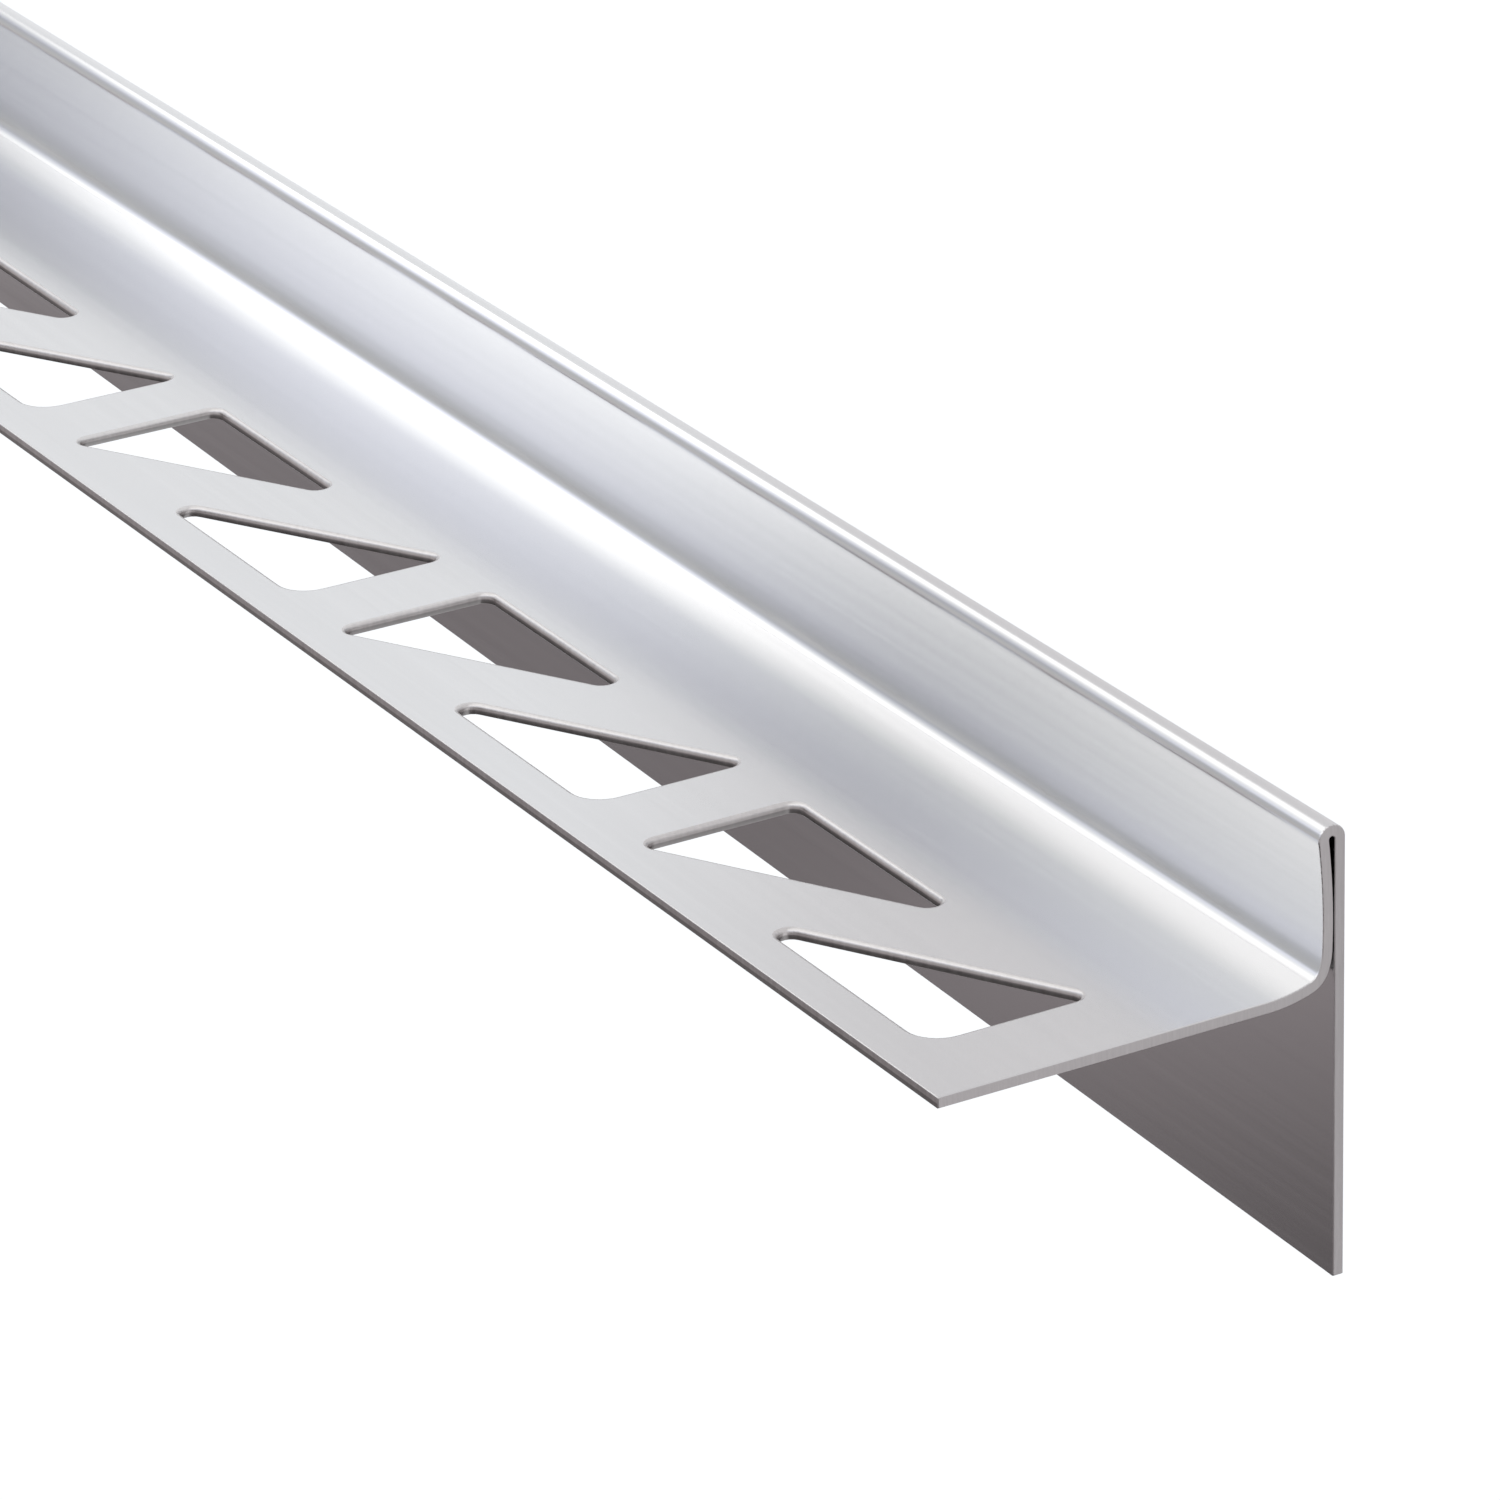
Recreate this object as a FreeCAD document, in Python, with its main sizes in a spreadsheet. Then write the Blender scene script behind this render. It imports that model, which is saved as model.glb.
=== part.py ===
"""A length of shower slope wedge profile, folded and punched from one strip of stainless sheet.

The outer wall hangs below the anchoring leg as a wedge, so a level profile finishes a tiled
floor that falls towards its drain. At the top the strip is hemmed, comes down beside the
outer wall and bends out into the leg, which is punched for tile adhesive. The bend is tight
in its middle and eases off into the wall and the leg, and the wall is a little hollow. The
profile lies on its flat outer face: X runs along it with the deep end at +X, Y points from
the foot of the wedge to the hem, and Z points out along the leg. Sizes are in millimetres.
"""
import FreeCAD
import Part
import math
import os
import Sketcher
from FreeCAD import Vector

NODE = "wedge_profile"
START, END, CENTRE = range(1, 4)
ORIGIN, X_AXIS = -1, -1

# Driving sizes: alias, value, what it is
SIZES = [
    ("length", 1000, "length of the stock"),
    ("gradient", 2, "fall of the wedge in percent of the length"),
    ("rim_height", 11, "hem above the leg, the thickness of the tiles"),
    ("leg_width", 30, "outer face of the wall to the edge of the leg"),
    ("sheet", 0.8, "thickness of the strip"),
    ("hem_gap", 0.4, "width of the eye inside the hem"),
    ("foot_gap", 0.1, "gap left between the two walls above the bend"),
    ("wall_radius", 50, "hollow of the inner wall"),
    ("wall_ease", 4, "inside radius where the bend eases into the wall"),
    ("wall_ease_angle", 20, "turn of that easing, in degrees"),
    ("bend_radius", 1.2, "inside radius of the tight bend"),
    ("leg_ease", 10, "inside radius where the bend eases into the leg"),
    ("leg_ease_angle", 18, "turn of that easing, in degrees"),
    ("inner_strip", 14.85, "outer face of the wall to the holes"),
    ("outer_strip", 3.4, "holes to the edge of the leg"),
    ("web_angle", 30, "slanted webs to the length, in degrees"),
    ("slant_web", 6.6, "width of the slanted webs"),
    ("cross_web", 7.3, "width of the webs square to the length"),
    ("corner_radius", 0.9, "corners of the holes"),
    ("heel_radius", 2.2, "square corner of the holes along the leg's edge"),
    ("end_strip", 6.9, "deep end to the first hole"),
    ("least_end", 4, "least strip between the last hole and the shallow end"),
    ("trim_margin", 5, "how far the sloped trim runs past the strip"),
]

# Sizes that follow from them: alias, formula, what it is
DERIVED = [
    ("fall", "=length * gradient / 100", "wedge below the leg at the deep end"),
    ("total_height", "=rim_height + sheet + fall", "foot of the wedge to the hem"),
    ("hem_radius", "=hem_gap / 2 + sheet", "outside radius of the hem"),
    ("bend_turn", "=90 - leg_ease_angle - wall_ease_angle", "turn of the tight bend, in degrees"),
    ("band", "=leg_width - inner_strip - outer_strip", "width of the punched band"),
    ("tip_reach", "=corner_radius / tan(45 - web_angle / 2) - corner_radius", "sharp tip past the round one"),
    ("hole_height", "=band + tip_reach", "height of the sharp triangle"),
    ("hole_base", "=hole_height / tan(web_angle)", "base of the sharp triangle"),
    ("pair_span", "=(hole_height + tip_reach) / tan(web_angle) + slant_web / sin(web_angle)", "two holes"),
    ("pitch", "=pair_span + cross_web", "one pair of holes to the next"),
    ("pairs", "=floor((length - end_strip - least_end - pair_span) / pitch) + 1", "pairs of holes"),
]


def write_sheet(document):
    """Put the sizes into the document's sheet and return their numbers by name."""
    sheet = document.addObject("Spreadsheet::Sheet", "sizes")
    for row, (alias, content, note) in enumerate(SIZES + DERIVED, start=1):
        sheet.set("A%d" % row, note)
        sheet.set("B%d" % row, str(content))
        sheet.setAlias("B%d" % row, alias)
    document.recompute()
    return {alias: float(sheet.get(alias)) for alias, _, _ in SIZES + DERIVED}


def bind(feature, prop, formula):
    """Tie a property of a feature to the sheet, where each size is written as [alias]."""
    feature.setExpression(prop, formula.replace("[", "sizes.").replace("]", ""))


def add_sketch(body, name, plane):
    """Make a sketch on one of the body's own origin planes."""
    sketch = body.newObject("Sketcher::SketchObject", name)
    support = next(item for item in body.Origin.OriginFeatures if item.Role == plane)
    sketch.AttachmentSupport = [(support, "")]
    sketch.MapMode = "FlatFace"
    return sketch


def constrain(sketch, kind, *places):
    sketch.addConstraint(Sketcher.Constraint(kind, *places))


def dimension(sketch, kind, places, value, name, formula):
    """Add a named dimension and tie it to the sheet."""
    index = sketch.addConstraint(Sketcher.Constraint(kind, *places, value))
    sketch.renameConstraint(index, name)
    bind(sketch, "Constraints." + name, formula)


def add_line(sketch, start, end):
    return sketch.addGeometry(Part.LineSegment(Vector(*start), Vector(*end)), False)


def add_arc(sketch, centre, radius, start_angle, end_angle):
    circle = Part.Circle(Vector(*centre), Vector(0, 0, 1), radius)
    return sketch.addGeometry(Part.ArcOfCircle(circle, start_angle, end_angle), False)


def add_fold(sketch, centre, front_radius, back_radius, turns):
    """Add the front and the back of one fold, two arcs about the same centre."""
    front = add_arc(sketch, centre, front_radius, *turns)
    back = add_arc(sketch, centre, back_radius, *turns)
    constrain(sketch, "Coincident", front, CENTRE, back, CENTRE)
    return front, back


def join(sketch, path):
    """Join the ends of a closed path of curves, smoothly wherever one of the two is an arc."""
    for (first, leave), (second, arrive) in path:
        both_straight = all(isinstance(sketch.Geometry[curve], Part.LineSegment) for curve in (first, second))
        kind = "Coincident" if both_straight else "Tangent"
        constrain(sketch, kind, first, leave, second, arrive)


def next_centre(centre, radius, next_radius, turn):
    """Step from one fold's centre to the next one's, once the strip has turned so far.

    Two arcs run smoothly into each other when both centres and the point where they meet
    lie on one line.
    """
    step = next_radius - radius
    return centre - Vector(math.cos(turn), math.sin(turn)) * step


def crossing(first_centre, first_radius, second_centre, second_radius):
    """Find the crossing of two circles that is further out along the leg."""
    first = Part.Circle(first_centre, Vector(0, 0, 1), first_radius)
    second = Part.Circle(second_centre, Vector(0, 0, 1), second_radius)
    points = [Vector(point.X, point.Y) for point in first.intersect(second)]
    return max(points, key=lambda point: point.y)


def turn_between(centre, other):
    """Say in which direction the other centre lies, as an angle from 0 to a full turn."""
    return math.atan2(other.y - centre.y, other.x - centre.x) % (2 * math.pi)


def draw_section(body, size):
    """Draw the folded strip at full depth: outer wall, hem, inner wall, bend and leg."""
    sketch = add_sketch(body, "FoldedSection", "YZ_Plane")
    half, sheet, leg_width = size["total_height"] / 2, size["sheet"], size["leg_width"]
    hem_radius, eye_radius = size["hem_radius"], size["hem_gap"] / 2
    wall_radius, wall_ease = size["wall_radius"], size["wall_ease"]
    bend_radius, leg_ease = size["bend_radius"], size["leg_ease"]
    leg_top = half - size["rim_height"]
    leg_under = leg_top - sheet

    # Centres of the folds
    bend_start = math.pi + math.radians(size["leg_ease_angle"])
    bend_end = bend_start + math.radians(size["bend_turn"])
    hem_centre = Vector(half - hem_radius, hem_radius)
    leg_ease_centre = Vector(leg_top + leg_ease, 0)
    bend_centre = next_centre(leg_ease_centre, leg_ease, bend_radius, bend_start)
    wall_ease_centre = next_centre(bend_centre, bend_radius, wall_ease, bend_end)
    across = Vector(0, 2 * sheet + size["foot_gap"] + wall_ease - wall_ease_centre.y)
    leg_ease_centre, bend_centre, wall_ease_centre = (
        centre + across for centre in (leg_ease_centre, bend_centre, wall_ease_centre))
    wall_centre = crossing(wall_ease_centre, wall_radius - wall_ease, hem_centre, wall_radius + hem_radius)
    wall_start = turn_between(wall_centre, wall_ease_centre)
    wall_end = turn_between(wall_centre, hem_centre)

    # Folds from the hem to the leg
    hem_outside, hem_inside = add_fold(
        sketch, hem_centre, hem_radius, eye_radius, (-math.pi / 2, wall_end - math.pi))
    wall_front, wall_back = add_fold(
        sketch, wall_centre, wall_radius, wall_radius + sheet, (wall_start, wall_end))
    wall_ease_front, wall_ease_back = add_fold(
        sketch, wall_ease_centre, wall_ease, wall_ease + sheet, (bend_end, wall_start))
    bend_inside, bend_outside = add_fold(
        sketch, bend_centre, bend_radius, bend_radius + sheet, (bend_start, bend_end))
    leg_ease_front, leg_ease_back = add_fold(
        sketch, leg_ease_centre, leg_ease, leg_ease + sheet, (math.pi, bend_start))

    # Straight faces
    leg_root = leg_ease_centre.y
    outer_face = add_line(sketch, (-half, 0), (hem_centre.x, 0))
    leg_upper = add_line(sketch, (leg_top, leg_root), (leg_top, leg_width))
    leg_edge = add_line(sketch, (leg_top, leg_width), (leg_under, leg_width))
    leg_lower = add_line(sketch, (leg_under, leg_width), (leg_under, leg_root))
    inner_face = add_line(sketch, (hem_centre.x, sheet), (-half, sheet))
    wall_foot = add_line(sketch, (-half, sheet), (-half, 0))

    join(sketch, [
        ((outer_face, END), (hem_outside, START)),
        ((hem_outside, END), (wall_front, END)),
        ((wall_front, START), (wall_ease_front, END)),
        ((wall_ease_front, START), (bend_inside, END)),
        ((bend_inside, START), (leg_ease_front, END)),
        ((leg_ease_front, START), (leg_upper, START)),
        ((leg_upper, END), (leg_edge, START)),
        ((leg_edge, END), (leg_lower, START)),
        ((leg_lower, END), (leg_ease_back, START)),
        ((leg_ease_back, END), (bend_outside, START)),
        ((bend_outside, END), (wall_ease_back, START)),
        ((wall_ease_back, END), (wall_back, START)),
        ((wall_back, END), (hem_inside, END)),
        ((hem_inside, START), (inner_face, START)),
        ((inner_face, END), (wall_foot, START)),
        ((wall_foot, END), (outer_face, START)),
    ])
    for level in (outer_face, inner_face, leg_edge):
        constrain(sketch, "Horizontal", level)
    for upright in (wall_foot, leg_upper, leg_lower):
        constrain(sketch, "Vertical", upright)
    constrain(sketch, "PointOnObject", outer_face, START, X_AXIS)

    dimension(sketch, "DistanceX", (outer_face, START, ORIGIN, START), half,
              "foot_level", "[total_height] / 2")
    dimension(sketch, "DistanceX", (outer_face, START, leg_lower, END), size["fall"],
              "wall_below_leg", "[fall]")
    dimension(sketch, "DistanceX", (leg_upper, START, hem_outside, CENTRE),
              size["rim_height"] - hem_radius, "rim_to_hem_centre", "[rim_height] - [hem_radius]")
    dimension(sketch, "DistanceY", (wall_foot, END, wall_foot, START), sheet,
              "wall_thickness", "[sheet]")
    dimension(sketch, "DistanceY", (wall_foot, START, wall_ease_front, CENTRE),
              sheet + size["foot_gap"] + wall_ease, "gap_at_foot", "[sheet] + [foot_gap] + [wall_ease]")
    dimension(sketch, "DistanceY", (wall_foot, END, leg_edge, START), leg_width,
              "leg_reach", "[leg_width]")
    dimension(sketch, "Radius", (hem_inside,), eye_radius, "eye", "[hem_gap] / 2")
    dimension(sketch, "Radius", (wall_front,), wall_radius, "hollow", "[wall_radius]")
    dimension(sketch, "Radius", (wall_ease_front,), wall_ease, "ease_to_wall", "[wall_ease]")
    dimension(sketch, "Radius", (bend_inside,), bend_radius, "bend", "[bend_radius]")
    dimension(sketch, "Radius", (leg_ease_front,), leg_ease, "ease_to_leg", "[leg_ease]")
    dimension(sketch, "Angle", (bend_inside,), bend_end - bend_start, "bend_turn", "[bend_turn]")
    dimension(sketch, "Angle", (leg_ease_front,), bend_start - math.pi,
              "turn_to_leg", "[leg_ease_angle]")
    return sketch


def draw_trim(body, size):
    """Draw what is sheared off the foot of the outer wall to leave the wedge."""
    sketch = add_sketch(body, "SlopedTrim", "XY_Plane")
    end = size["length"] / 2
    foot = -size["total_height"] / 2
    margin = size["trim_margin"]
    past = margin * size["gradient"] / 100
    corners = [
        (end + margin, foot - past),
        (-end - margin, foot + size["fall"] + past),
        (-end - margin, foot - margin),
        (end + margin, foot - margin),
    ]
    slope, shallow_side, bottom, deep_side = (
        add_line(sketch, corners[index], corners[(index + 1) % len(corners)])
        for index in range(len(corners)))
    deep_foot = sketch.addGeometry(Part.Point(Vector(end, foot)), True)
    shallow_foot = sketch.addGeometry(Part.Point(Vector(-end, foot + size["fall"])), True)

    lines = [slope, shallow_side, bottom, deep_side]
    for line, following in zip(lines, lines[1:] + lines[:1]):
        constrain(sketch, "Coincident", line, END, following, START)
    constrain(sketch, "Horizontal", bottom)
    constrain(sketch, "Vertical", shallow_side)
    constrain(sketch, "Vertical", deep_side)
    constrain(sketch, "PointOnObject", deep_foot, START, slope)
    constrain(sketch, "PointOnObject", shallow_foot, START, slope)
    dimension(sketch, "DistanceX", (ORIGIN, START, deep_foot, START), end, "deep_end", "[length] / 2")
    dimension(sketch, "DistanceX", (shallow_foot, START, ORIGIN, START), end, "shallow_end", "[length] / 2")
    dimension(sketch, "DistanceY", (deep_foot, START, ORIGIN, START), -foot,
              "deep_foot_level", "[total_height] / 2")
    dimension(sketch, "DistanceY", (deep_foot, START, shallow_foot, START), size["fall"], "rise", "[fall]")
    dimension(sketch, "DistanceX", (deep_foot, START, bottom, END), margin, "past_deep_end", "[trim_margin]")
    dimension(sketch, "DistanceX", (bottom, START, shallow_foot, START), margin,
              "past_shallow_end", "[trim_margin]")
    dimension(sketch, "DistanceY", (bottom, START, deep_foot, START), margin, "past_foot", "[trim_margin]")
    return sketch


def draw_hole(sketch, name, corners, radii):
    """Draw a triangular hole with rounded corners.

    Each corner is a pair of (value, formula) for X and for Z, and each radius is one such pair.
    """
    points = [Vector(across[0], out[0]) for across, out in corners]
    count = len(points)
    marks = [sketch.addGeometry(Part.Point(point), True) for point in points]
    lines = []
    arcs = []
    starts = []
    ends = []
    for index, point in enumerate(points):
        before = (points[index - 1] - point).normalize()
        after = (points[(index + 1) % count] - point).normalize()
        half_angle = before.getAngle(after) / 2
        radius = radii[index][0]
        inset = radius / math.tan(half_angle)
        starts.append(point + after * inset)
        ends.append(point + before * inset)
        centre = point + (before + after).normalize() * (radius / math.sin(half_angle))
        middle = centre + (point - centre).normalize() * radius
        arcs.append(sketch.addGeometry(Part.Arc(ends[index], middle, starts[index]), False))
    for index in range(count):
        following = (index + 1) % count
        lines.append(sketch.addGeometry(Part.LineSegment(starts[index], ends[following]), False))
        constrain(sketch, "PointOnObject", marks[index], START, lines[index])
        constrain(sketch, "PointOnObject", marks[following], START, lines[index])
    for index in range(count):
        arc_from, arc_to = nearest_ends(sketch, arcs[index], ends[index])
        constrain(sketch, "Tangent", arcs[index], arc_from, lines[index - 1], END)
        constrain(sketch, "Tangent", arcs[index], arc_to, lines[index], START)
        across, out = corners[index]
        label = "%s_%d" % (name, index)
        dimension(sketch, "DistanceX", (ORIGIN, START, marks[index], START), across[0], label + "_x", across[1])
        dimension(sketch, "DistanceY", (ORIGIN, START, marks[index], START), out[0], label + "_z", out[1])
        dimension(sketch, "Radius", (arcs[index],), radii[index][0], label + "_radius", radii[index][1])


def nearest_ends(sketch, arc, point):
    """Say which end of the arc lies at the point, and which is the other one."""
    start = sketch.getPoint(arc, START)
    end = sketch.getPoint(arc, END)
    return (START, END) if start.distanceToPoint(point) < end.distanceToPoint(point) else (END, START)


def draw_holes(body, size):
    """Draw the first pair of holes: one along the leg's edge, one along the bend."""
    sketch = add_sketch(body, "HolePair", "XZ_Plane")
    first = (size["length"] / 2 - size["end_strip"], "[length] / 2 - [end_strip]")
    edge_line = (size["leg_width"] - size["outer_strip"], "[leg_width] - [outer_strip]")
    bend_line = (size["inner_strip"], "[inner_strip]")
    round_corner = (size["corner_radius"], "[corner_radius]")
    heel = (size["heel_radius"], "[heel_radius]")

    def shifted(place, alias, sign):
        return place[0] + sign * size[alias], "%s %s [%s]" % (place[1], "+" if sign > 0 else "-", alias)

    last = shifted(first, "pair_span", -1)
    draw_hole(sketch, "edge_hole",
              [(first, edge_line),
               (shifted(first, "hole_base", -1), edge_line),
               (first, shifted(edge_line, "hole_height", -1))],
              [heel, round_corner, round_corner])
    draw_hole(sketch, "bend_hole",
              [(last, bend_line),
               (shifted(last, "hole_base", 1), bend_line),
               (last, shifted(bend_line, "hole_height", 1))],
              [round_corner, round_corner, round_corner])
    return sketch


def cut_volume(document, body, volume_before):
    """Recompute, and return the volume that the newest feature took away."""
    document.recompute()
    taken = volume_before - body.Shape.Volume
    if taken <= 0:
        raise RuntimeError("the newest cut takes nothing away")
    return taken


def build_profile(document, size):
    body = document.addObject("PartDesign::Body", "WedgeProfile")
    body.Label = NODE

    strip = body.newObject("PartDesign::Pad", "FoldedStrip")
    strip.Profile = draw_section(body, size)
    strip.SideType = "Symmetric"
    bind(strip, "Length", "[length]")
    document.recompute()

    volume = body.Shape.Volume
    wedge = body.newObject("PartDesign::Pocket", "Wedge")
    wedge.Profile = draw_trim(body, size)
    wedge.Reversed = True
    bind(wedge, "Length", "[sheet] + [foot_gap] / 2")
    cut_volume(document, body, volume)

    volume = body.Shape.Volume
    holes = body.newObject("PartDesign::Pocket", "Holes")
    holes.Profile = draw_holes(body, size)
    holes.SideType = "Symmetric"
    holes.Type = "ThroughAll"
    one_pair = cut_volume(document, body, volume)

    volume = body.Shape.Volume
    row = body.newObject("PartDesign::LinearPattern", "HoleRow")
    row.Originals = [holes]
    row.Direction = (holes.Profile[0], ["H_Axis"])
    row.Reversed = True
    row.Mode = "Spacing"
    bind(row, "Offset", "[pitch]")
    bind(row, "Occurrences", "[pairs]")
    body.Tip = row
    the_rest = cut_volume(document, body, volume)
    if abs(the_rest / one_pair - (size["pairs"] - 1)) > 0.001:
        raise RuntimeError("the row of holes has lost a pair")
    return body


def check(document, body):
    for item in document.Objects:
        if "Invalid" in item.State or "Error" in item.State:
            raise RuntimeError("failed: %s %s" % (item.Name, item.State))
    if body.Shape.isNull() or not body.Shape.isValid() or len(body.Shape.Solids) != 1:
        raise RuntimeError("the profile is not one valid solid")


document = FreeCAD.newDocument("ShowerSlopeWedgeProfile")
size = write_sheet(document)
profile = build_profile(document, size)
check(document, profile)

box = profile.Shape.BoundBox
print("%s: %.2f x %.2f x %.2f mm, %.0f mm3, %d pairs of holes every %.2f mm"
      % (NODE, box.XLength, box.YLength, box.ZLength, profile.Shape.Volume, size["pairs"], size["pitch"]))
print("lowest corner %.3f %.3f %.3f" % (box.XMin, box.YMin, box.ZMin))

os.makedirs("parts", exist_ok=True)
profile.Shape.exportStep("parts/%s.step" % NODE)
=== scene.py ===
# %% [markdown]
# A shower slope wedge profile
#
# This is a length of trim for the open side of a walk-in shower. One strip of stainless
# sheet is punched, then folded: a leg to bed in tile adhesive, a bend, an inner wall, a
# hem, and an outer wall that reaches below the leg as a long wedge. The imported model
# already has that form, but its bend and hem are a few flat facets, so this lesson folds
# a fine one around the same sizes and gives it its brushed finish.

# %% Load the frame
import math

import bmesh
import bpy
from mathutils import Matrix, Vector
from mathutils.geometry import intersect_sphere_sphere_2d


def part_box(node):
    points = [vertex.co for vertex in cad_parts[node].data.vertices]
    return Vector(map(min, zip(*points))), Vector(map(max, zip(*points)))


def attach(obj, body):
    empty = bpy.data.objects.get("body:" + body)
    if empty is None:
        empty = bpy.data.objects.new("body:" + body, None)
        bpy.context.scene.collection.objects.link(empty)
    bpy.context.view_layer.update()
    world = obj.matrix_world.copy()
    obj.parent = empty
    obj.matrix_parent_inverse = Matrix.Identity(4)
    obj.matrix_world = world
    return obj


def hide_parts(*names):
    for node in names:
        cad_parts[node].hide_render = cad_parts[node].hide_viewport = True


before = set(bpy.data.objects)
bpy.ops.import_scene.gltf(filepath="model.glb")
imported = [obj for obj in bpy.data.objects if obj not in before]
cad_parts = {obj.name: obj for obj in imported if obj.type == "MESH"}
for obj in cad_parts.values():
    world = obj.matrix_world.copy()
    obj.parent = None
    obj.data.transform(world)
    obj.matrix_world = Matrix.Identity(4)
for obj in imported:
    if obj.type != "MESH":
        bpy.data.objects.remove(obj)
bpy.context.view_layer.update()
MM = 0.001
NODE = "wedge_profile"
low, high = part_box(NODE)
print("profile", [round((b - a) / MM, 2) for a, b in zip(low, high)], "mm")

# %% [markdown]
# The view
#
# The part is stored lying on its flat outer face, with the leg standing up. The picture
# shows it as it is built in, with the hem on top, so the camera is turned by about a
# quarter: what points along Y in the model points up in the picture. A long lens keeps
# the far end from shrinking much.

# %% Camera
EYE = Vector((858.6, 214.05, 245.0)) * MM
AIM = Vector((461.46, 11.57, 20.67)) * MM
CAMERA_ROLL = math.radians(1.69)
LENS_MM = 183.4
SENSOR_MM = 36.0
NEAREST_SEEN = 0.01
FARTHEST_SEEN = 60


def add_camera():
    """Look from EYE to AIM with the model's Y axis nearly upright in the picture."""
    forward = (AIM - EYE).normalized()
    upright = Vector((0, 1, 0))
    up = (upright - forward * upright.dot(forward)).normalized()
    up.rotate(Matrix.Rotation(CAMERA_ROLL, 3, forward))
    right = forward.cross(up)
    turn = Matrix((right, up, -forward)).transposed()
    data = bpy.data.cameras.new("picture_view")
    data.lens = LENS_MM
    data.sensor_width = SENSOR_MM
    data.clip_start = NEAREST_SEEN
    data.clip_end = FARTHEST_SEEN
    camera = bpy.data.objects.new("picture_view", data)
    camera.matrix_world = Matrix.Translation(EYE) @ turn.to_4x4()
    bpy.context.scene.collection.objects.link(camera)
    bpy.context.scene.camera = camera


add_camera()
print("camera", round((AIM - EYE).length / MM), "mm from what it looks at")

# %% [markdown]
# The sizes of the fold
#
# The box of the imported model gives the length, the height of the wall and the width of
# the leg. The rest are the sizes of the sheet and of its folds. Sheet doesn't bend to one
# neat arc: the tight bend eases off into the wall above it and the leg beside it, so a
# broad soft highlight runs along it. Closing the hem leaves the inner wall a little
# hollow.

# %% Sizes
SHEET = 0.8 * MM
RIM_HEIGHT = 11 * MM
HEM_GAP = 0.4 * MM
FOOT_GAP = 0.1 * MM
BEND_RADIUS = 1.2 * MM
LEG_EASE = 10 * MM
LEG_EASE_ANGLE = math.radians(18)
WALL_EASE = 4 * MM
WALL_EASE_ANGLE = math.radians(20)
WALL_RADIUS = 50 * MM
INNER_STRIP = 14.85 * MM
OUTER_STRIP = 3.4 * MM
END_STRIP = 6.9 * MM
LEAST_END = 4 * MM
WEB_ANGLE = math.radians(30)
SLANT_WEB = 6.6 * MM
CROSS_WEB = 7.3 * MM
CORNER_RADIUS = 0.9 * MM
HEEL_RADIUS = 2.2 * MM

leg_top = high.y - RIM_HEIGHT
leg_under = leg_top - SHEET
hem_radius = HEM_GAP / 2 + SHEET
hem_centre = Vector((0, high.y - hem_radius, hem_radius))
print("leg top at", round(leg_top / MM, 2), "mm, hem centre at", round(hem_centre.y / MM, 2), "mm")

# %% [markdown]
# The centres of the folds
#
# Each fold is an arc, and two arcs run smoothly into each other when their centres lie on
# one line with the point where they meet. So each centre is a step away from the last one,
# in the direction that the strip has turned to. Only the hollow wall has to fit both its
# neighbours, so its centre is where two circles cross.

# %% Centres of the folds


def next_centre(centre, radius, next_radius, turn):
    """Step from one fold's centre to the next one's, once the strip has turned so far."""
    inwards = Vector((0, math.cos(turn), math.sin(turn)))
    return centre + inwards * (next_radius - radius)


def centre_of_wall(foot_centre):
    """Find the centre of the hollow wall, which runs smoothly into its foot and the hem."""
    centres = intersect_sphere_sphere_2d(
        foot_centre.yz, WALL_RADIUS - WALL_EASE, hem_centre.yz, WALL_RADIUS + hem_radius)
    level, depth = max(centres, key=lambda centre: centre.y)
    return Vector((0, level, depth))


def turn_at(centre):
    """Say how far the strip has turned where the wall meets the fold with this centre."""
    inwards = wall_centre - centre
    return math.atan2(inwards.z, inwards.y)


bend_end = math.pi / 2 - WALL_EASE_ANGLE
leg_ease_centre = Vector((0, leg_top + LEG_EASE, 0))
bend_centre = next_centre(leg_ease_centre, LEG_EASE, BEND_RADIUS, LEG_EASE_ANGLE)
wall_ease_centre = next_centre(bend_centre, BEND_RADIUS, WALL_EASE, bend_end)
across = Vector((0, 0, 2 * SHEET + FOOT_GAP + WALL_EASE - wall_ease_centre.z))
for centre in (leg_ease_centre, bend_centre, wall_ease_centre):
    centre += across
leg_root = leg_ease_centre.z
wall_centre = centre_of_wall(wall_ease_centre)
foot_turn = turn_at(wall_ease_centre)
hem_turn = turn_at(hem_centre)
print("the leg's root is", round(leg_root / MM, 2), "mm from the outer face")
lean = [round(math.degrees(turn) - 90, 2) for turn in (foot_turn, hem_turn)]
print("the inner wall leans", lean, "degrees")

# %% [markdown]
# The punched holes
#
# The leg has a row of right-angled triangles, one along its edge and one along the bend,
# so that a zigzag of webs is left. A hole's outline could be a polygon with bevelled
# corners, but a bevel makes a true arc only at a square corner. So each corner is a
# vertex spun about the corner's own centre, and straight edges join one arc to the next.

# %% Hole outlines
CORNER_STEPS = 8


def verts_of(geometry):
    """Pick the vertices out of what an operator returns."""
    return [item for item in geometry if isinstance(item, bmesh.types.BMVert)]


def round_corner(shape, corner, before, after, radius):
    """Spin a vertex round one corner, and return the first and last vertex of the arc."""
    back = (before - corner).normalized()
    ahead = (after - corner).normalized()
    half_angle = back.angle(ahead) / 2
    inset = radius / math.tan(half_angle)
    centre = corner + (back + ahead).normalized() * (radius / math.sin(half_angle))
    first = shape.verts.new(corner + back * inset)
    arc = bmesh.ops.spin(
        shape, geom=[first], cent=centre, axis=ahead.cross(back), dvec=(0, 0, 0),
        angle=math.pi - 2 * half_angle, steps=CORNER_STEPS, use_duplicate=False)
    return first, verts_of(arc["geom_last"])[0]


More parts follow.
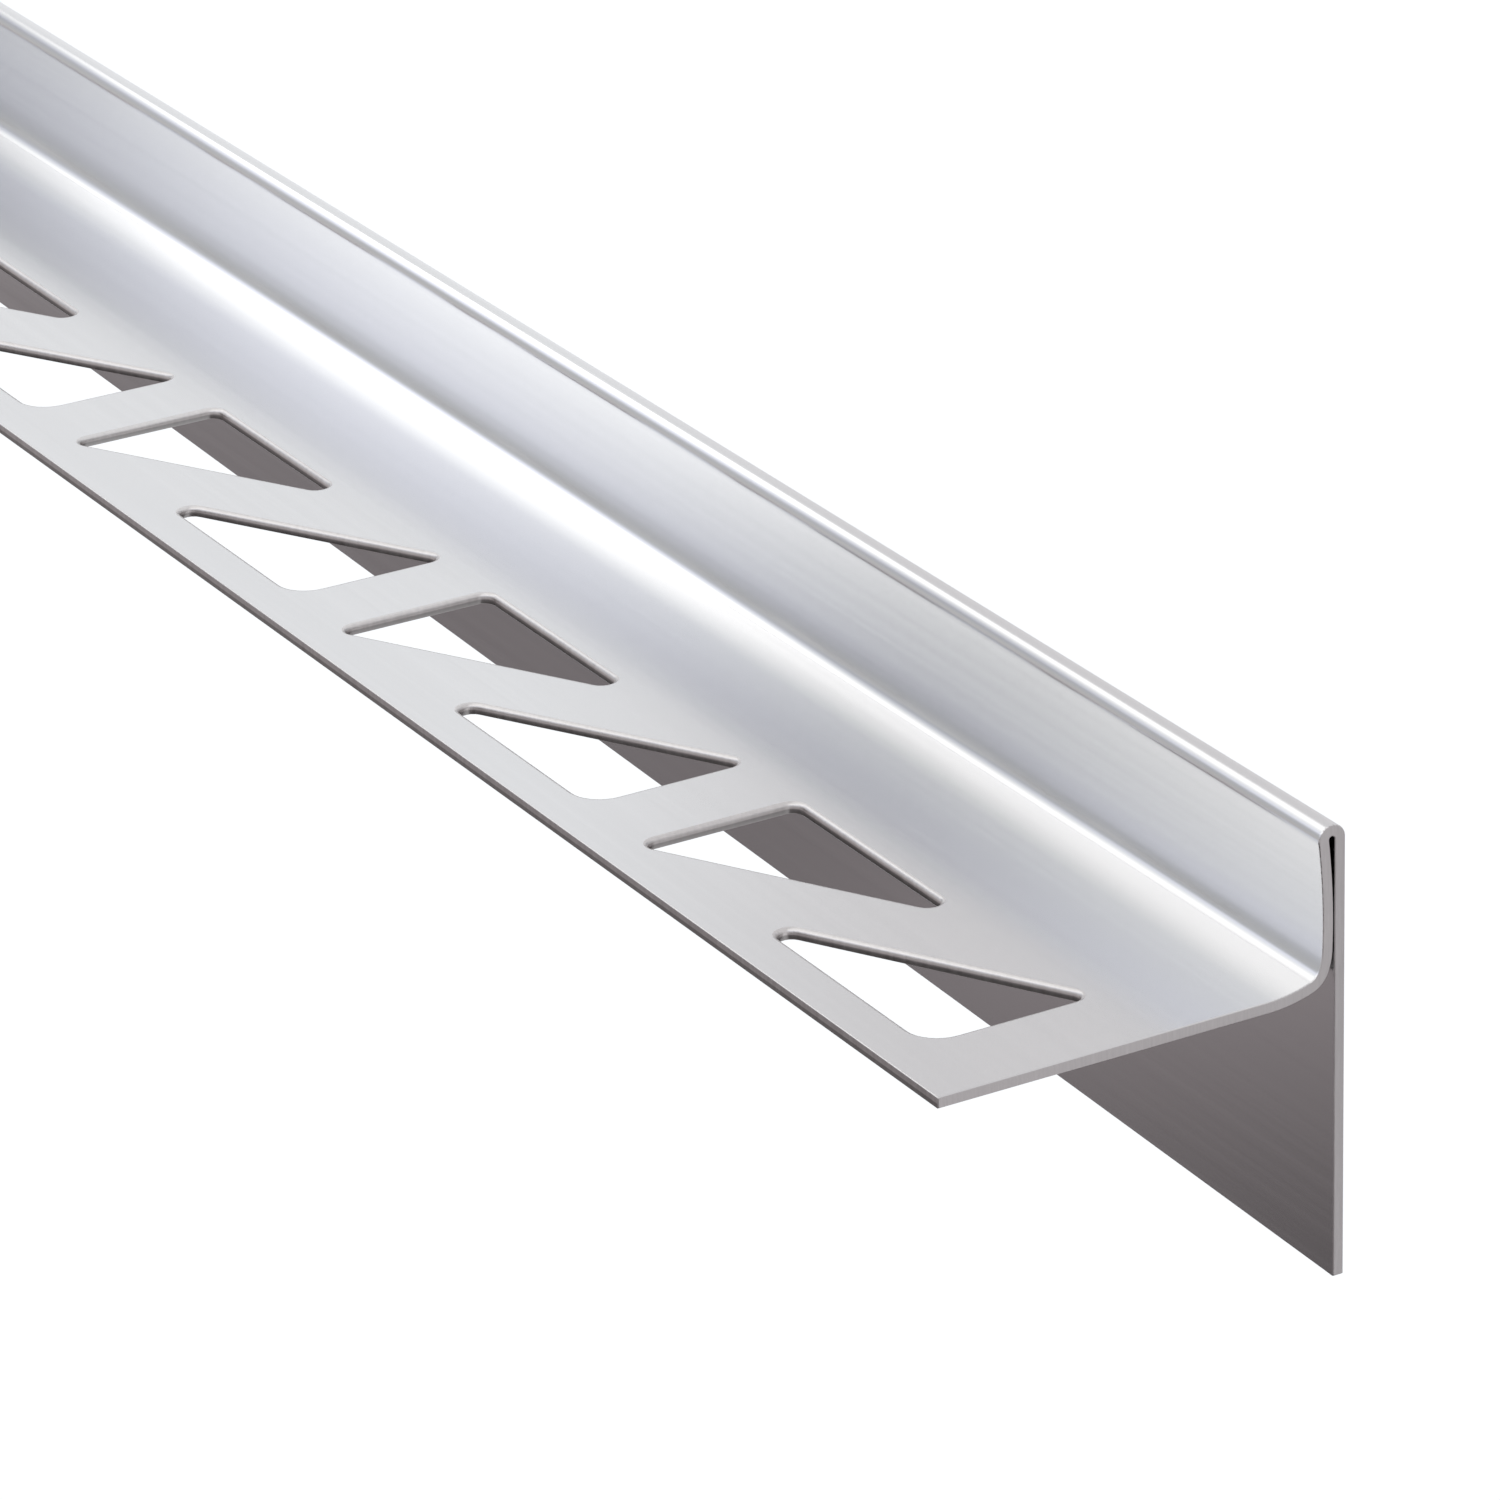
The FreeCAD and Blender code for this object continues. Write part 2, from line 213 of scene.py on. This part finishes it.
def draw_outline(shape, corners, radii):
    """Draw a closed outline with a round corner of the given radius at each corner."""
    ends = []
    for index, corner in enumerate(corners):
        before = corners[index - 1]
        after = corners[(index + 1) % len(corners)]
        ends.append(round_corner(shape, corner, before, after, radii[index]))
    for index, (first, _) in enumerate(ends):
        shape.edges.new((ends[index - 1][1], first))


def draw_holes(shape):
    """Draw every hole of the leg, pair by pair from the deep end."""
    slope = 1 / math.tan(WEB_ANGLE)
    band = high.z - INNER_STRIP - OUTER_STRIP
    tip_reach = CORNER_RADIUS / math.tan(math.radians(45) - WEB_ANGLE / 2) - CORNER_RADIUS
    hole_height = band + tip_reach
    hole_base = hole_height * slope
    pair_span = (hole_height + tip_reach) * slope + SLANT_WEB / math.sin(WEB_ANGLE)
    pitch = pair_span + CROSS_WEB
    pairs = int((high.x - low.x - END_STRIP - LEAST_END - pair_span) / pitch) + 1
    edge_line = high.z - OUTER_STRIP
    for pair in range(pairs):
        first = high.x - END_STRIP - pair * pitch
        last = first - pair_span
        edge_hole = [
            (first, edge_line), (first - hole_base, edge_line), (first, edge_line - hole_height)]
        bend_hole = [
            (last, INNER_STRIP), (last + hole_base, INNER_STRIP), (last, INNER_STRIP + hole_height)]
        for corners, heel in ((edge_hole, HEEL_RADIUS), (bend_hole, CORNER_RADIUS)):
            places = [Vector((x, leg_top, z)) for x, z in corners]
            draw_outline(shape, places, [heel, CORNER_RADIUS, CORNER_RADIUS])
    print(pairs, "pairs of holes, one every", round(pitch / MM, 2), "mm")


# %% [markdown]
# The leg
#
# A rectangle is drawn round the holes, the space between is filled with triangles, and
# the triangles are dissolved into a few large faces. Extruding the sheet by its thickness
# makes the cut walls of the holes at the same time.

# %% Flat leg


def make_leg(shape):
    """Fill the leg's outline round its holes and give the sheet its thickness."""
    rectangle = bmesh.ops.create_grid(shape, x_segments=1, y_segments=1, size=0.5)["verts"]
    width = high.z - leg_root
    place = (
        Matrix.Translation(((low.x + high.x) / 2, leg_top, (high.z + leg_root) / 2))
        @ Matrix.Rotation(math.radians(90), 4, "X")
        @ Matrix.Diagonal((high.x - low.x, width, 1, 1)))
    bmesh.ops.transform(shape, matrix=place, verts=rectangle)
    bmesh.ops.delete(shape, geom=shape.faces[:], context="FACES_ONLY")
    draw_holes(shape)
    bmesh.ops.triangle_fill(
        shape, use_beauty=True, use_dissolve=False, edges=shape.edges[:], normal=(0, 1, 0))
    bmesh.ops.dissolve_limit(
        shape, angle_limit=math.radians(1), use_dissolve_boundaries=False,
        verts=shape.verts[:], edges=shape.edges[:], delimit={"NORMAL"})
    sheet = bmesh.ops.extrude_face_region(shape, geom=shape.faces[:], use_keep_orig=True)
    bmesh.ops.translate(shape, verts=verts_of(sheet["geom"]), vec=(0, -SHEET, 0))


shape = bmesh.new()
make_leg(shape)
print("the flat leg has", len(shape.faces), "faces")

# %% [markdown]
# The folds
#
# The narrow face at the leg's root is what the press brake folds. It is spun about the
# centres of the two eases, the bend between them, the hollow wall and the hem in turn,
# and pushed down as the outer wall. The far corners of the wall's foot are then lifted to
# the leg, which leaves the long wedge.

# %% Folding the strip
FOLD_STEPS = 32


def faces_of(geometry):
    """Pick the faces out of what an operator returns."""
    return [item for item in geometry if isinstance(item, bmesh.types.BMFace)]


def fold(shape, face, centre, angle):
    """Spin the strip's end face about a fold line along X, and return the new end face."""
    geometry = [face] + face.edges[:] + face.verts[:]
    swept = bmesh.ops.spin(
        shape, geom=geometry, cent=centre, axis=(1, 0, 0), dvec=(0, 0, 0),
        angle=angle, steps=FOLD_STEPS, use_duplicate=False)
    return faces_of(swept["geom_last"])[0]


def push(shape, face, reach):
    """Extrude the strip's end face by a distance, and return the new end face."""
    moved = bmesh.ops.extrude_face_region(shape, geom=[face], use_keep_orig=True)
    bmesh.ops.translate(shape, verts=verts_of(moved["geom"]), vec=reach)
    bmesh.ops.delete(shape, geom=[face], context="FACES_ONLY")
    return faces_of(moved["geom"])[0]


def fold_strip(shape):
    """Fold the inner wall, the hem and the outer wall up from the leg's root."""
    end = next(face for face in shape.faces
               if all(abs(vert.co.z - leg_root) < SHEET / 100 for vert in face.verts))
    end = fold(shape, end, leg_ease_centre, LEG_EASE_ANGLE)
    end = fold(shape, end, bend_centre, bend_end - LEG_EASE_ANGLE)
    end = fold(shape, end, wall_ease_centre, foot_turn - bend_end)
    end = fold(shape, end, wall_centre, hem_turn - foot_turn)
    end = fold(shape, end, hem_centre, -math.pi / 2 - hem_turn)
    end = push(shape, end, Vector((0, low.y - hem_centre.y, 0)))
    for vert in end.verts:
        if vert.co.x < 0:
            vert.co.y = leg_under


fold_strip(shape)
bmesh.ops.recalc_face_normals(shape, faces=shape.faces[:])
print(len(shape.faces), "faces, open edges:", sum(not edge.is_manifold for edge in shape.edges))

# %% [markdown]
# Which face is which
#
# The sheet's own faces are brushed, what a punch or a shear has cut is duller, and the two
# sawn ends show saw marks. The faces are told apart by where they point and where they
# lie, and the numbers here are the order of the finishes in the piece's slots.

# %% Finishes by face
BRUSHED, SHEARED, SAWN = range(3)


def sort_faces(shape):
    """Give each face its finish."""
    for face in shape.faces:
        normal = face.normal
        middle = face.calc_center_median()
        if abs(normal.x) > 0.99 and abs(abs(middle.x) - high.x) < SHEET / 10:
            face.material_index = SAWN
        elif abs(normal.y) < 0.01 and middle.z > leg_root + SHEET and leg_under < middle.y < leg_top:
            face.material_index = SHEARED
        elif normal.y < -0.9 and middle.z < SHEET and middle.y < leg_top:
            face.material_index = SHEARED
        else:
            face.material_index = BRUSHED


sort_faces(shape)
counts = [sum(face.material_index == finish for face in shape.faces) for finish in range(3)]
print("brushed, sheared and sawn faces:", counts)

# %% [markdown]
# Soft edges
#
# A punch drags the sheet's upper face down a little round each hole, which catches the
# light as a soft line, so that rounding has the duller finish. The sawn ends are filed,
# and all other edges are broken only as much as a deburring brush breaks them, which
# dulls them too. All three are bevels, with more segments the wider they are.

# %% Edges
PUNCHED_EDGE = 0.3 * MM
SAWN_EDGE = 0.1 * MM
BROKEN_EDGE = 0.05 * MM
SHARP_ANGLE = math.radians(50)
NARROW = 0.5 * MM
LEVEL = 0.9999


def sharp_edges(shape):
    """Find the edges at which the strip's faces meet sharply, not those within a fold."""
    return [edge for edge in shape.edges if edge.calc_face_angle(0) > SHARP_ANGLE]


def is_punched(edge):
    """Say whether the edge is on the upper face of the leg, round a hole."""
    ends = [vert.co for vert in edge.verts]
    on_top = all(abs(end.y - leg_top) < SHEET / 20 for end in ends)
    inside = all(
        leg_root + SHEET < end.z < high.z - SHEET and abs(end.x) < high.x - SHEET for end in ends)
    return on_top and inside


def is_sawn(edge):
    """Say whether the edge lies in a sawn end, and doesn't run from one end to the other."""
    first, last = [vert.co.x for vert in edge.verts]
    return abs(first - last) < SHEET / 100 and abs(first) > high.x - SHEET / 100


def round_edges(shape, edges, radius, segments, finish=None):
    """Bevel the edges, and give the new narrow faces their finish where one is named."""
    rounded = bmesh.ops.bevel(
        shape, geom=edges, offset=radius, offset_type="OFFSET", affect="EDGES",
        segments=segments, profile=0.5, material=-1, clamp_overlap=False)
    if finish is not None:
        for face in rounded["faces"]:
            face.material_index = finish


def break_edges(shape):
    """Round the punched and the sawn edges well and the others a little."""
    punched = [edge for edge in sharp_edges(shape) if is_punched(edge)]
    round_edges(shape, punched, PUNCHED_EDGE, 4, SHEARED)
    sawn = [edge for edge in sharp_edges(shape) if is_sawn(edge)]
    round_edges(shape, sawn, SAWN_EDGE, 3)
    others = sharp_edges(shape)
    round_edges(shape, others, BROKEN_EDGE, 2, SHEARED)
    print(len(punched), "punched,", len(sawn), "sawn and", len(others), "other edges rounded")


def is_curved(face):
    """Say whether the face is one of the narrow ones that make up a fold or a rounded edge."""
    middle = face.calc_center_median()
    width = face.calc_area() / max(edge.calc_length() for edge in face.edges)
    in_flat_leg = middle.z > leg_root and abs(face.normal.y) > LEVEL
    in_end = abs(middle.x) > high.x - SAWN_EDGE
    return width < NARROW and not in_flat_leg and not in_end


def shade_curves(shape):
    """Shade folds and rounded edges smoothly, and keep the flat faces and the sawn ends crisp."""
    for face in shape.faces:
        face.smooth = is_curved(face)
    for edge in shape.edges:
        edge.smooth = all(face.smooth for face in edge.link_faces)


break_edges(shape)
shade_curves(shape)
print(len(shape.faces), "faces, open edges:", sum(not edge.is_manifold for edge in shape.edges),
      "volume", round(shape.calc_volume() / MM ** 3), "mm3")
mesh = bpy.data.meshes.new("folded_strip")
shape.to_mesh(mesh)
shape.free()
strip = bpy.data.objects.new("folded_strip", mesh)
bpy.context.scene.collection.objects.link(strip)
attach(strip, "root")
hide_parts(NODE)

# %% [markdown]
# Brushing
#
# Stainless trim is brushed along its length with an abrasive belt, so its scratches are
# long thin lines along X. They are one noise, squeezed across the strip. Every finish
# uses them at its own strength, so they are a shader group with named inputs.

# %% Group for long scratches


def add_socket(group, name, kind, way, value=None):
    """Give the group a named input or output, and an input its value."""
    socket = group.interface.new_socket(name=name, in_out=way, socket_type=kind)
    if value is not None:
        socket.default_value = value


def make_scratches():
    """Long scratches along one direction: a height, a roughness and a faint shade."""
    group = bpy.data.node_groups.new("long_scratches", "ShaderNodeTree")
    add_socket(group, "Stretch", "NodeSocketVector", "INPUT", (30, 4000, 4000))
    add_socket(group, "Roughness", "NodeSocketFloat", "INPUT", 0.25)
    add_socket(group, "Variation", "NodeSocketFloat", "INPUT", 0.1)
    add_socket(group, "Color", "NodeSocketColor", "INPUT", (0.76, 0.76, 0.76, 1))
    add_socket(group, "Shade", "NodeSocketFloat", "INPUT", 0.05)
    add_socket(group, "Color", "NodeSocketColor", "OUTPUT")
    add_socket(group, "Roughness", "NodeSocketFloat", "OUTPUT")
    add_socket(group, "Height", "NodeSocketFloat", "OUTPUT")
    nodes = group.nodes
    link = group.links.new
    inputs = nodes.new("NodeGroupInput")
    outputs = nodes.new("NodeGroupOutput")
    place = nodes.new("ShaderNodeTexCoord")
    squeeze = nodes.new("ShaderNodeVectorMath")
    squeeze.operation = "MULTIPLY"
    link(place.outputs["Object"], squeeze.inputs[0])
    link(inputs.outputs["Stretch"], squeeze.inputs[1])
    noise = nodes.new("ShaderNodeTexNoise")
    noise.inputs["Scale"].default_value = 1
    noise.inputs["Detail"].default_value = 3
    noise.inputs["Roughness"].default_value = 0.6
    link(squeeze.outputs[0], noise.inputs["Vector"])
    centred = nodes.new("ShaderNodeMath")
    centred.operation = "SUBTRACT"
    centred.inputs[1].default_value = 0.5
    link(noise.outputs["Fac"], centred.inputs[0])
    rough = nodes.new("ShaderNodeMath")
    rough.operation = "MULTIPLY_ADD"
    link(centred.outputs[0], rough.inputs[0])
    link(inputs.outputs["Variation"], rough.inputs[1])
    link(inputs.outputs["Roughness"], rough.inputs[2])
    shade = nodes.new("ShaderNodeMath")
    shade.operation = "MULTIPLY_ADD"
    link(centred.outputs[0], shade.inputs[0])
    link(inputs.outputs["Shade"], shade.inputs[1])
    shade.inputs[2].default_value = 1
    tint = nodes.new("ShaderNodeVectorMath")
    tint.operation = "SCALE"
    link(inputs.outputs["Color"], tint.inputs[0])
    link(shade.outputs[0], tint.inputs["Scale"])
    link(tint.outputs[0], outputs.inputs["Color"])
    link(rough.outputs[0], outputs.inputs["Roughness"])
    link(noise.outputs["Fac"], outputs.inputs["Height"])
    return group


scratches = make_scratches()
print("scratch group with", len(scratches.nodes), "nodes")

# %% [markdown]
# The three finishes
#
# Each finish is bare metal with its own scratches. On the brushed faces they run along
# the profile and blur what is mirrored across it. A punch cuts into the sheet for half
# its thickness and tears off the rest, so each cut has a bright and a dark half. The saw
# marks of the two ends run across the wall.

# %% Finishes
STREAKING = 0.75
BRUSHED_DEPTH = 0.0003 * MM
CUT_DEPTH = 0.01 * MM
TEAR_LEVEL = 0.45
TEAR_BLUR = 0.06
TORN_SHADE = 0.55


def new_finish(name):
    """Make an empty metal finish and return the material, its nodes and its shader."""
    finish = bpy.data.materials.new(name)
    finish.use_nodes = True
    shader = finish.node_tree.nodes["Principled BSDF"]
    shader.inputs["Metallic"].default_value = 1
    return finish, finish.node_tree, shader


def add_scratches(tree, stretch, roughness, variation, color, shade):
    """Place the group of scratches in a finish, with the finish's own values."""
    node = tree.nodes.new("ShaderNodeGroup")
    node.node_tree = scratches
    node.inputs["Stretch"].default_value = stretch
    node.inputs["Roughness"].default_value = roughness
    node.inputs["Variation"].default_value = variation
    node.inputs["Color"].default_value = (*color, 1)
    node.inputs["Shade"].default_value = shade
    return node


def finish_from(tree, shader, marks, bump_depth):
    """Feed the shader's colour, roughness and bump from one group of scratches."""
    link = tree.links.new
    link(marks.outputs["Color"], shader.inputs["Base Color"])
    link(marks.outputs["Roughness"], shader.inputs["Roughness"])
    bump = tree.nodes.new("ShaderNodeBump")
    bump.inputs["Strength"].default_value = 1
    bump.inputs["Distance"].default_value = bump_depth
    link(marks.outputs["Height"], bump.inputs["Height"])
    link(bump.outputs["Normal"], shader.inputs["Normal"])


def make_brushed():
    """The sheet's own faces, on which the scratches draw out what is mirrored."""
    finish, tree, shader = new_finish("brushed_stainless")
    marks = add_scratches(
        tree, stretch=(6, 1200, 1200), roughness=0.16, variation=0.04,
        color=(0.76, 0.76, 0.76), shade=0.1)
    finish_from(tree, shader, marks, BRUSHED_DEPTH)
    shader.inputs["Anisotropic"].default_value = STREAKING
    tangent = tree.nodes.new("ShaderNodeTangent")
    tangent.direction_type = "RADIAL"
    tangent.axis = "X"
    tree.links.new(tangent.outputs[0], shader.inputs["Tangent"])
    return finish


def shade_torn_part(tree, shader, marks):
    """Darken the lower part of each cut, below TEAR_LEVEL, where the sheet tore."""
    place = tree.nodes.new("ShaderNodeTexCoord")
    parts = tree.nodes.new("ShaderNodeSeparateXYZ")
    tree.links.new(place.outputs["Object"], parts.inputs[0])
    share = tree.nodes.new("ShaderNodeMapRange")
    share.inputs["From Min"].default_value = leg_under + (TEAR_LEVEL - TEAR_BLUR) * SHEET
    share.inputs["From Max"].default_value = leg_under + (TEAR_LEVEL + TEAR_BLUR) * SHEET
    share.inputs["To Min"].default_value = TORN_SHADE
    tree.links.new(parts.outputs["Y"], share.inputs["Value"])
    shaded = tree.nodes.new("ShaderNodeVectorMath")
    shaded.operation = "SCALE"
    tree.links.new(marks.outputs["Color"], shaded.inputs[0])
    tree.links.new(share.outputs[0], shaded.inputs["Scale"])
    tree.links.new(shaded.outputs[0], shader.inputs["Base Color"])


def make_sheared():
    """What a punch or a shear has cut, with short marks through the sheet."""
    finish, tree, shader = new_finish("sheared_edge")
    marks = add_scratches(
        tree, stretch=(3000, 600, 3000), roughness=0.34, variation=0.2,
        color=(0.72, 0.7, 0.69), shade=0.3)
    finish_from(tree, shader, marks, CUT_DEPTH)
    shade_torn_part(tree, shader, marks)
    return finish


def make_sawn():
    """The two sawn ends, with saw marks across the wall."""
    finish, tree, shader = new_finish("sawn_end")
    marks = add_scratches(
        tree, stretch=(400, 400, 6000), roughness=0.4, variation=0.2,
        color=(0.55, 0.53, 0.53), shade=0.3)
    finish_from(tree, shader, marks, CUT_DEPTH)
    return finish


for finish in (make_brushed(), make_sheared(), make_sawn()):
    strip.data.materials.append(finish)
    print("finish", finish.name)

# %% [markdown]
# Floor
#
# The part lies on a pale studio floor. The camera sees it as plain white, with the faint
# shadow of the part. The metal mirrors it a little less white. Beside the deep end, where
# the leg's edge mirrors it, the mirrored glow is turned down further: a painted shade in
# that reflection, which lets more of the floor's dull and slightly warm colour show there.

# %% Floor
FLOOR_SIZE = 40
FLOOR_COLOR = (0.84, 0.79, 0.78, 1)
GLOW_COLOR = (0.955, 0.975, 1, 1)
GLOW_STRENGTH = 1.08
SEEN_GLOW = 0.97
MIRRORED_GLOW = 0.8
# The mirrored glow is turned down to this between the two places below: painted shade in the leg's
# reflection near the deep end.
PAINTED_SHADE_GLOW = 0.42
PAINTED_SHADE_FROM = 385 * MM
PAINTED_SHADE_TO = 455 * MM


def glow_with_painted_shade(tree):
    """Say how brightly the metal mirrors the floor, with painted shade towards the deep end."""
    place = tree.nodes.new("ShaderNodeTexCoord")
    parts = tree.nodes.new("ShaderNodeSeparateXYZ")
    tree.links.new(place.outputs["Object"], parts.inputs[0])
    share = tree.nodes.new("ShaderNodeMapRange")
    share.interpolation_type = "SMOOTHSTEP"
    share.inputs["From Min"].default_value = PAINTED_SHADE_FROM
    share.inputs["From Max"].default_value = PAINTED_SHADE_TO
    share.inputs["To Min"].default_value = MIRRORED_GLOW
    share.inputs["To Max"].default_value = PAINTED_SHADE_GLOW
    tree.links.new(parts.outputs["X"], share.inputs["Value"])
    return share.outputs[0]


def make_floor_finish():
    """A pale floor that looks white and still shows a soft shadow."""
    finish = bpy.data.materials.new("studio_floor")
    finish.use_nodes = True
    tree = finish.node_tree
    tree.nodes.clear()
    link = tree.links.new
    seen = tree.nodes.new("ShaderNodeLightPath")
    mirrored = tree.nodes.new("ShaderNodeMath")
    mirrored.operation = "MAXIMUM"
    link(seen.outputs["Is Glossy Ray"], mirrored.inputs[0])
    link(seen.outputs["Is Transmission Ray"], mirrored.inputs[1])
    some = tree.nodes.new("ShaderNodeMath")
    some.operation = "MULTIPLY"
    link(mirrored.outputs[0], some.inputs[0])
    link(glow_with_painted_shade(tree), some.inputs[1])
    share = tree.nodes.new("ShaderNodeMath")
    share.operation = "MULTIPLY_ADD"
    share.inputs[1].default_value = SEEN_GLOW
    link(seen.outputs["Is Camera Ray"], share.inputs[0])
    link(some.outputs[0], share.inputs[2])
    matt = tree.nodes.new("ShaderNodeBsdfDiffuse")
    matt.inputs["Color"].default_value = FLOOR_COLOR
    glow = tree.nodes.new("ShaderNodeEmission")
    glow.inputs["Color"].default_value = GLOW_COLOR
    glow.inputs["Strength"].default_value = GLOW_STRENGTH
    mix = tree.nodes.new("ShaderNodeMixShader")
    link(share.outputs[0], mix.inputs["Fac"])
    link(matt.outputs[0], mix.inputs[1])
    link(glow.outputs[0], mix.inputs[2])
    output = tree.nodes.new("ShaderNodeOutputMaterial")
    link(mix.outputs[0], output.inputs["Surface"])
    return finish


def add_floor():
    """Lay a wide square of floor under the part."""
    square = bmesh.new()
    bmesh.ops.create_grid(square, x_segments=1, y_segments=1, size=FLOOR_SIZE / 2)
    mesh = bpy.data.meshes.new("studio_floor")
    square.to_mesh(mesh)
    square.free()
    floor = bpy.data.objects.new("studio_floor", mesh)
    floor.data.materials.append(make_floor_finish())
    bpy.context.scene.collection.objects.link(floor)


add_floor()
print("floor", FLOOR_SIZE, "m wide")

# %% [markdown]
# Light
#
# Bare metal shows what stands round it, so the sky is the light here. It is dim on the
# side of the wedge's foot and bright on the hem's side, which draws the dark crease above
# the bend and the broad highlight below it. Two more pairs of curves make it uneven along
# the profile, as the walls and lamps of a real room do: the first of a pair says where it
# counts, and the second by how much. A ramp gives the sky its tints.

# %% Light
UP_SKY = [
    (-1.0, 0.5), (-0.7, 0.3), (-0.52, 0.04), (-0.48, 0.05), (-0.46, 0.13), (-0.43, 0.2),
    (-0.4, 0.2), (-0.36, 0.19), (-0.3, 0.48), (-0.1, 0.61), (0.0, 0.59), (0.2, 0.65),
    (0.31, 0.93), (0.35, 1.01), (0.4, 1.12), (0.445, 1.25), (0.495, 1.52), (0.54, 1.6),
    (0.6, 1.6), (0.66, 1.25), (0.72, 1.1), (1.0, 1.1)]
UNEVEN_SKY = [(-1.0, 0.0), (0.05, 0.0), (0.3, 1.0), (0.5, 1.0), (0.6, 0.3), (1.0, 0.3)]
ALONG_SKY = [
    (-0.9, 0.62), (-0.87, 0.65), (-0.843, 1.4), (-0.815, 1.32), (-0.792, 0.57),
    (-0.785, 0.44), (-0.775, 0.8), (-0.76, 0.95), (-0.73, 0.95)]
NEARNESS = [(-0.9, 0.0), (-0.782, 0.0), (-0.763, 1.0), (-0.7, 1.0)]
NEAR_SKY = [
    (-1.0, 1.0), (-0.52, 0.3), (-0.46, 0.3), (-0.435, 2.1), (-0.4, 2.3), (-0.35, 1.2),
    (-0.25, 1.0), (0.2, 1.0), (0.3, 1.35), (0.34, 1.25), (0.395, 1.05), (0.42, 1.0),
    (0.46, 0.9), (0.49, 0.86), (0.56, 0.9), (0.65, 1.0), (1.0, 1.0)]
TINTS = [
    (0.0, (1.0, 0.96, 0.965)), (0.3, (1.0, 0.89, 0.925)), (0.45, (1.0, 0.985, 0.985)),
    (0.55, (0.95, 0.965, 1.0)), (0.645, (0.88, 0.9, 1.0)), (0.685, (0.88, 0.9, 1.0)),
    (0.71, (0.94, 0.96, 1.0)), (0.74, (0.97, 0.98, 1.0)), (0.78, (1.0, 0.995, 1.0))]


def follow_curve(tree, value, points):
    """Pass a value through a smooth curve through the points, and return the outcome."""
    first, last = points[0][0], points[-1][0]
    top = max(height for _, height in points)
    span = tree.nodes.new("ShaderNodeMapRange")
    span.inputs["From Min"].default_value = first
    span.inputs["From Max"].default_value = last
    tree.links.new(value, span.inputs["Value"])
    curve_node = tree.nodes.new("ShaderNodeFloatCurve")
    curve = curve_node.mapping.curves[0]
    places = [((place - first) / (last - first), height / top) for place, height in points]
    curve.points[0].location = places[0]
    curve.points[-1].location = places[-1]
    for place in places[1:-1]:
        curve.points.new(*place)
    curve_node.mapping.update()
    tree.links.new(span.outputs[0], curve_node.inputs["Value"])
    scaled = tree.nodes.new("ShaderNodeMath")
    scaled.operation = "MULTIPLY"
    scaled.inputs[1].default_value = top
    tree.links.new(curve_node.outputs[0], scaled.inputs[0])
    return scaled.outputs[0]


def dim_by(tree, strength, share, dimmer):
    """Multiply a strength by a dimmer, which counts for the given share only."""
    mix = tree.nodes.new("ShaderNodeMix")
    tree.links.new(share, mix.inputs["Factor"])
    mix.inputs["A"].default_value = 1
    tree.links.new(dimmer, mix.inputs["B"])
    dimmed = tree.nodes.new("ShaderNodeMath")
    dimmed.operation = "MULTIPLY"
    tree.links.new(strength, dimmed.inputs[0])
    tree.links.new(mix.outputs["Result"], dimmed.inputs[1])
    return dimmed.outputs[0]


def tint_by(tree, value):
    """Colour a value from -1 to 1 by the sky's tints, and return the colour."""
    span = tree.nodes.new("ShaderNodeMapRange")
    span.inputs["From Min"].default_value = -1
    tree.links.new(value, span.inputs["Value"])
    ramp = tree.nodes.new("ShaderNodeValToRGB")
    stops = ramp.color_ramp.elements
    stops[0].position, stops[0].color = TINTS[0][0], (*TINTS[0][1], 1)
    stops[1].position, stops[1].color = TINTS[-1][0], (*TINTS[-1][1], 1)
    for place, color in TINTS[1:-1]:
        stops.new(place).color = (*color, 1)
    tree.links.new(span.outputs[0], ramp.inputs["Fac"])
    return ramp.outputs["Color"]


def add_world():
    """Light that grows from the foot's side of the profile to the hem's side."""
    world = bpy.data.worlds.new("studio_light")
    bpy.context.scene.world = world
    world.use_nodes = True
    tree = world.node_tree
    tree.nodes.clear()
    place = tree.nodes.new("ShaderNodeTexCoord")
    parts = tree.nodes.new("ShaderNodeSeparateXYZ")
    tree.links.new(place.outputs["Generated"], parts.inputs[0])
    along, up = parts.outputs["X"], parts.outputs["Y"]
    strength = follow_curve(tree, up, UP_SKY)
    for share, dimmer in (
            (follow_curve(tree, up, UNEVEN_SKY), follow_curve(tree, along, ALONG_SKY)),
            (follow_curve(tree, along, NEARNESS), follow_curve(tree, up, NEAR_SKY))):
        strength = dim_by(tree, strength, share, dimmer)
    glow = tree.nodes.new("ShaderNodeBackground")
    tree.links.new(tint_by(tree, up), glow.inputs["Color"])
    tree.links.new(strength, glow.inputs["Strength"])
    backdrop = tree.nodes.new("ShaderNodeBackground")
    backdrop.inputs["Color"].default_value = (1, 1, 1, 1)
    seen = tree.nodes.new("ShaderNodeLightPath")
    mix = tree.nodes.new("ShaderNodeMixShader")
    tree.links.new(seen.outputs["Is Camera Ray"], mix.inputs["Fac"])
    tree.links.new(glow.outputs[0], mix.inputs[1])
    tree.links.new(backdrop.outputs[0], mix.inputs[2])
    output = tree.nodes.new("ShaderNodeOutputWorld")
    tree.links.new(mix.outputs[0], output.inputs["Surface"])


add_world()
bpy.context.scene.view_settings.view_transform = "Standard"
print("world nodes:", len(bpy.context.scene.world.node_tree.nodes))
